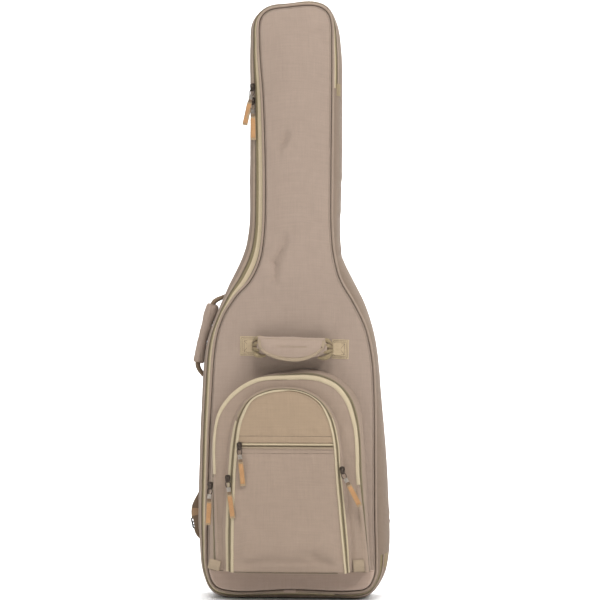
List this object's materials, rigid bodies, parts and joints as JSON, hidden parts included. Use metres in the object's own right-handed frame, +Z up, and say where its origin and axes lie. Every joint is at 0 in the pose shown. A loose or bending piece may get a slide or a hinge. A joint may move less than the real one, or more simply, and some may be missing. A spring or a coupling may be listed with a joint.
{
  "type": "padded gig bag",
  "caption": "Padded soft case for an electric bass, with a zipped front cover, stacked zipped pockets, padded handles and shoulder straps.",
  "frame": {"origin": "centre of the flat base, on the surface the bag stands on", "axes": "+Z up towards the head end, +X towards the viewer's right of the front, -Y out of the front with the pockets"},
  "size_m": [0.414, 0.2147, 1.2095],
  "materials": {
    "foam": "dense foam under brushed cloth",
    "gunmetal": "gunmetal plating",
    "leather": "tan leather with a pressed metal end",
    "lining": "dark brushed lining over foam",
    "patch_fabric": "woven polyester, matt, khaki taupe",
    "piping": "khaki bound cord",
    "plastic": "moulded nylon",
    "pocket_fabric": "woven polyester, matt, taupe a shade darker",
    "shell_fabric": "woven polyester, matt, light taupe",
    "webbing": "ribbed khaki webbing",
    "zip_tape": "khaki coil zip on woven tape"
  },
  "bodies": {
    "bag_shell": {"back_lining": "lining", "back_panel": "shell_fabric", "end_pin_pad": "foam", "hinge_gusset": "shell_fabric", "hinge_panel": "shell_fabric", "ladder_lock_left": "plastic", "ladder_lock_right": "plastic", "neck_cradle": "foam", "neck_strap": "webbing", "rear_piping": "piping", "rear_zip_tape": "zip_tape", "side_gusset": "shell_fabric", "strap_anchor_left": "webbing", "strap_anchor_right": "webbing", "strap_yoke": "webbing"},
    "front_cover": {"base_band": "pocket_fabric", "front_lining": "lining", "front_panel": "shell_fabric", "front_piping": "piping", "front_zip_tape": "zip_tape", "handle_patch_left": "webbing", "handle_patch_right": "webbing", "large_pocket_gusset": "pocket_fabric"},
    "large_pocket_flap": {"large_pocket_front": "pocket_fabric", "large_pocket_zip_tape": "zip_tape", "loop_tab_left": "webbing", "loop_tab_right": "webbing", "small_pocket_gusset": "pocket_fabric"},
    "small_pocket_flap": {"flat_pocket_zip_tape": "zip_tape", "small_pocket_front": "pocket_fabric", "small_pocket_top_panel": "patch_fabric", "small_pocket_zip_tape": "zip_tape"},
    "front_handle": {"front_handle_pad": "shell_fabric", "front_handle_webbing": "webbing"},
    "handle_flap": {"front_handle_flap": "shell_fabric"},
    "side_handle": {"side_handle_grip": "shell_fabric", "side_handle_webbing_lower": "webbing", "side_handle_webbing_upper": "webbing"},
    "shoulder_strap_left": {"shoulder_pad_left": "shell_fabric", "strap_webbing_left": "webbing"},
    "shoulder_strap_right": {"shoulder_pad_right": "shell_fabric", "strap_webbing_right": "webbing"},
    "main_zip_upper_slider": {"main_zip_upper_slider": "gunmetal"},
    "main_zip_upper_pull": {"main_zip_upper_pull_ring": "gunmetal", "main_zip_upper_pull_tab": "leather"},
    "main_zip_lower_slider": {"main_zip_lower_slider": "gunmetal"},
    "main_zip_lower_pull": {"main_zip_lower_pull_ring": "gunmetal", "main_zip_lower_pull_tab": "leather"},
    "large_pocket_slider": {"large_pocket_slider": "gunmetal"},
    "large_pocket_pull": {"large_pocket_pull_ring": "gunmetal", "large_pocket_pull_tab": "leather"},
    "small_pocket_left_slider": {"small_pocket_left_slider": "gunmetal"},
    "small_pocket_left_pull": {"small_pocket_left_pull_ring": "gunmetal", "small_pocket_left_pull_tab": "leather"},
    "small_pocket_right_slider": {"small_pocket_right_slider": "gunmetal"},
    "small_pocket_right_pull": {"small_pocket_right_pull_ring": "gunmetal", "small_pocket_right_pull_tab": "leather"},
    "flat_pocket_slider": {"flat_pocket_slider": "gunmetal"},
    "flat_pocket_pull": {"flat_pocket_pull_ring": "gunmetal", "flat_pocket_pull_tab": "leather"}
  },
  "joints": [
    {"name": "front_cover_hinge", "type": "hinge", "parent": "bag_shell", "child": "front_cover", "pos_m": [0.176, -0.0557, 0.075], "axis": [-0.0828, 0, 0.9966], "range_deg": [0, 110]},
    {"name": "large_pocket_hinge", "type": "hinge", "parent": "front_cover", "child": "large_pocket_flap", "pos_m": [0, -0.084, 0.065], "axis": [1, 0, 0], "range_deg": [0, 50]},
    {"name": "small_pocket_hinge", "type": "hinge", "parent": "large_pocket_flap", "child": "small_pocket_flap", "pos_m": [0, -0.109, 0.065], "axis": [1, 0, 0], "range_deg": [0, 38]},
    {"name": "front_handle_swing", "type": "hinge", "parent": "front_cover", "child": "front_handle", "pos_m": [0.008, -0.0606, 0.5083], "axis": [0.9996, 0, -0.0295], "range_deg": [-30, 30]},
    {"name": "handle_flap_hinge", "type": "hinge", "parent": "front_handle", "child": "handle_flap", "pos_m": [0.008, -0.092, 0.529], "axis": [-0.9997, 0, 0.0257], "range_deg": [0, 110]},
    {"name": "side_handle_swing", "type": "hinge", "parent": "bag_shell", "child": "side_handle", "pos_m": [-0.1835, 0, 0.45], "axis": [0.253, 0, 0.9675], "range_deg": [-20, 20]},
    {"name": "left_strap_swing", "type": "hinge", "parent": "bag_shell", "child": "shoulder_strap_left", "pos_m": [-0.029, 0.06, 0.767], "axis": [0.2714, 0.0095, 0.9624], "range_deg": [-20, 20]},
    {"name": "right_strap_swing", "type": "hinge", "parent": "bag_shell", "child": "shoulder_strap_right", "pos_m": [0.047, 0.06, 0.767], "axis": [-0.2206, 0.0096, 0.9753], "range_deg": [-20, 20]},
    {"name": "main_zip_upper_slide", "type": "slide", "parent": "bag_shell", "child": "main_zip_upper_slider", "axis": [-0.016, 0.002, 0.9999], "range_m": [0, 0.075]},
    {"name": "main_zip_upper_pull_swing", "type": "hinge", "parent": "main_zip_upper_slider", "child": "main_zip_upper_pull", "pos_m": [-0.07648, -0.04696, 1.029], "axis": [-1, 0, 0], "range_deg": [0, 120]},
    {"name": "main_zip_lower_slide", "type": "slide", "parent": "bag_shell", "child": "main_zip_lower_slider", "axis": [-0.016, 0.002, 0.9999], "range_m": [-0.18, 0]},
    {"name": "main_zip_lower_pull_swing", "type": "hinge", "parent": "main_zip_lower_slider", "child": "main_zip_lower_pull", "pos_m": [-0.07603, -0.04702, 1.001], "axis": [-1, 0, 0], "range_deg": [0, 120]},
    {"name": "large_pocket_slide", "type": "slide", "parent": "large_pocket_flap", "child": "large_pocket_slider", "axis": [0, 0, 1], "range_m": [-0.1, 0.05]},
    {"name": "large_pocket_pull_swing", "type": "hinge", "parent": "large_pocket_slider", "child": "large_pocket_pull", "pos_m": [-0.1577, -0.0892, 0.229], "axis": [-1, 0, 0], "range_deg": [0, 120]},
    {"name": "small_pocket_left_slide", "type": "slide", "parent": "small_pocket_flap", "child": "small_pocket_left_slider", "axis": [0, 0, 1], "range_m": [-0.12, 0.03]},
    {"name": "small_pocket_left_pull_swing", "type": "hinge", "parent": "small_pocket_left_slider", "child": "small_pocket_left_pull", "pos_m": [-0.119, -0.1192, 0.246], "axis": [-1, 0, 0], "range_deg": [0, 120]},
    {"name": "small_pocket_right_slide", "type": "slide", "parent": "small_pocket_flap", "child": "small_pocket_right_slider", "axis": [-0.1191, 0, 0.9929], "range_m": [-0.12, 0]},
    {"name": "small_pocket_right_pull_swing", "type": "hinge", "parent": "small_pocket_right_slider", "child": "small_pocket_right_pull", "pos_m": [0.108, -0.1192, 0.264], "axis": [-1, 0, 0], "range_deg": [0, 120]},
    {"name": "flat_pocket_slide", "type": "slide", "parent": "small_pocket_flap", "child": "flat_pocket_slider", "axis": [1, 0, 0], "range_m": [0, 0.175]},
    {"name": "flat_pocket_pull_swing", "type": "hinge", "parent": "flat_pocket_slider", "child": "flat_pocket_pull", "pos_m": [-0.0955, -0.1239, 0.311], "axis": [-1, 0, 0], "range_deg": [0, 120]}
  ]
}
